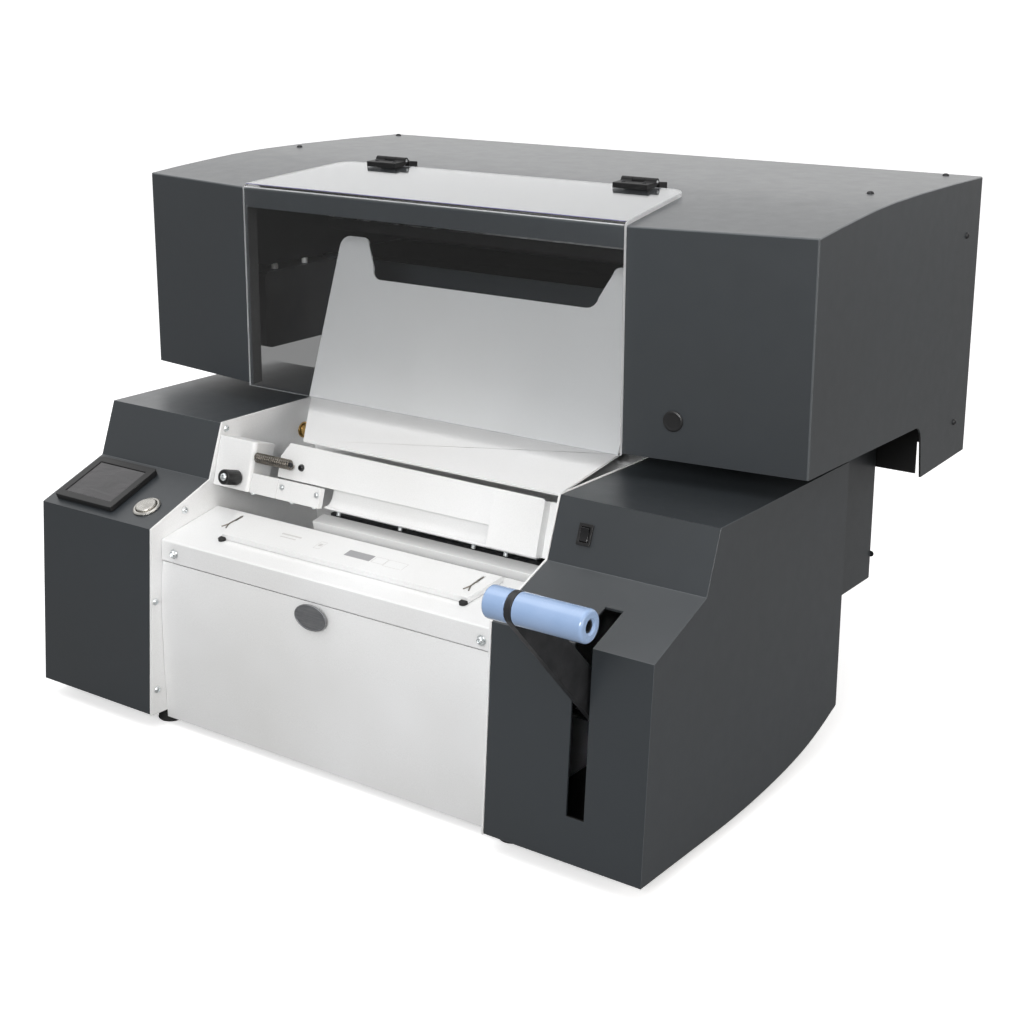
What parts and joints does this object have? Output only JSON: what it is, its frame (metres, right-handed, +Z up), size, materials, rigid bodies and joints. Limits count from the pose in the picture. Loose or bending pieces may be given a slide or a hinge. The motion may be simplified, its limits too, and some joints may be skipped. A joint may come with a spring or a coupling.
{
  "type": "tabletop printing press",
  "caption": "Tabletop printing press with a lever-closed clamp, leaning feed tray, side consoles and a cantilevered hood over a travelling print carriage behind a hinged clear cover.",
  "frame": {"origin": "on the table plane, at the middle of the box that the machine fills with its lever at rest", "axes": "+X to the operator's right, +Y to the rear, +Z up"},
  "size_m": [0.822, 0.7405, 0.5694],
  "materials": {
    "graphite_paint": "fine-texture powder coat, satin",
    "white_paint": "smooth warm-white powder coat, satin",
    "black_plastic": "moulded, fine grain",
    "dark_steel": "black oxide, satin",
    "zinc": "zinc plated",
    "stainless": "spun stainless",
    "rubber": "matt",
    "brass": "turned",
    "grip_blue": "polished moulded resin",
    "clear_sheet": "clear acrylic, polished edges",
    "screen_glass": "dark glass",
    "badge_metal": "brushed, anodised",
    "aluminium": "machined",
    "heater": "anodised, heat tinted"
  },
  "bodies": {
    "frame": {"chassis_base": "dark_steel", "foot_front_left": "rubber", "foot_front_right": "rubber", "foot_rear_left": "rubber", "foot_rear_right": "rubber", "side_plate_left": "white_paint", "side_plate_right": "white_paint", "housing_left": "graphite_paint", "housing_right": "graphite_paint", "front_panel": "white_paint", "front_badge": "badge_metal", "shelf": "white_paint", "back_wall": "white_paint", "guide_strip": "white_paint", "lower_jaw": "white_paint", "anvil_bar": "dark_steel", "guide_bracket": "white_paint", "guide_rod": "stainless", "guide_spring": "dark_steel", "side_rail": "white_paint", "brass_bush": "brass", "display_bezel": "black_plastic", "display_glass": "screen_glass", "button_ring_left": "stainless", "button_ring_right": "stainless", "rocker_frame": "black_plastic", "shaft_bearing": "aluminium", "hood": "graphite_paint", "hood_plug": "black_plastic", "rear_bulkhead": "dark_steel", "rear_column": "graphite_paint", "gantry_plate_left": "dark_steel", "gantry_plate_right": "dark_steel", "electronics_box": "black_plastic", "gantry_beam": "aluminium", "linear_rail": "stainless", "drive_belt": "rubber", "drive_motor": "dark_steel", "hinge_leaf_left": "black_plastic", "hinge_leaf_right": "black_plastic"},
    "clamp": {"clamp_bar": "white_paint", "pressure_channel": "white_paint", "clamp_end_plate": "white_paint", "guide_pins": "zinc", "clamp_link": "dark_steel", "feed_tray": "white_paint"},
    "cover": {"clear_cover": "clear_sheet", "hinge_block_left": "black_plastic", "hinge_block_right": "black_plastic"},
    "lever": {"lever_arm": "dark_steel", "lever_shaft": "stainless", "lever_cam": "dark_steel", "grip_inner": "grip_blue", "grip_outer": "grip_blue"},
    "button_left": {"push_button_left": "stainless"},
    "button_right": {"push_button_right": "stainless"},
    "rocker": {"power_rocker": "black_plastic"},
    "knob": {"stop_knob": "black_plastic"},
    "carriage": {"carriage": "dark_steel", "print_head": "heater"}
  },
  "joints": [
    {"name": "clamp_slide", "type": "slide", "parent": "frame", "child": "clamp", "axis": [0, 0.2723, 0.9622], "range_m": [-0.0055, 0.0025]},
    {"name": "lever_hinge", "type": "hinge", "parent": "frame", "child": "lever", "pos_m": [0.313, -0.2065, 0.135], "axis": [1, 0, 0], "range_deg": [-30, 70]},
    {"name": "cover_hinge", "type": "hinge", "parent": "frame", "child": "cover", "pos_m": [0.00225, 0.0735, 0.566], "axis": [1, 0, 0], "range_deg": [-100, 0]},
    {"name": "button_left_press", "type": "slide", "parent": "frame", "child": "button_left", "axis": [0, -0.356, 0.9345], "range_m": [-0.0025, 0], "stiffness_N_per_m": 400, "springref_m": 0.0005},
    {"name": "button_right_press", "type": "slide", "parent": "frame", "child": "button_right", "axis": [0, -0.356, 0.9345], "range_m": [-0.0025, 0], "stiffness_N_per_m": 400, "springref_m": 0.0005},
    {"name": "power_rock", "type": "hinge", "parent": "frame", "child": "rocker", "pos_m": [0.24925, -0.1538, 0.27694], "axis": [1, 0, 0], "range_deg": [-7, 7]},
    {"name": "knob_turn", "type": "hinge", "parent": "frame", "child": "knob", "pos_m": [-0.179, -0.15785, 0.25557], "axis": [0, -0.9622, 0.2723], "range_deg": [-90, 90]},
    {"name": "carriage_travel", "type": "slide", "parent": "frame", "child": "carriage", "axis": [1, 0, 0], "range_m": [-0.55, 0]}
  ],
  "couplings": [
    {"joint": "clamp_slide", "follows": "lever_hinge", "m_per_rad": -0.0039}
  ]
}
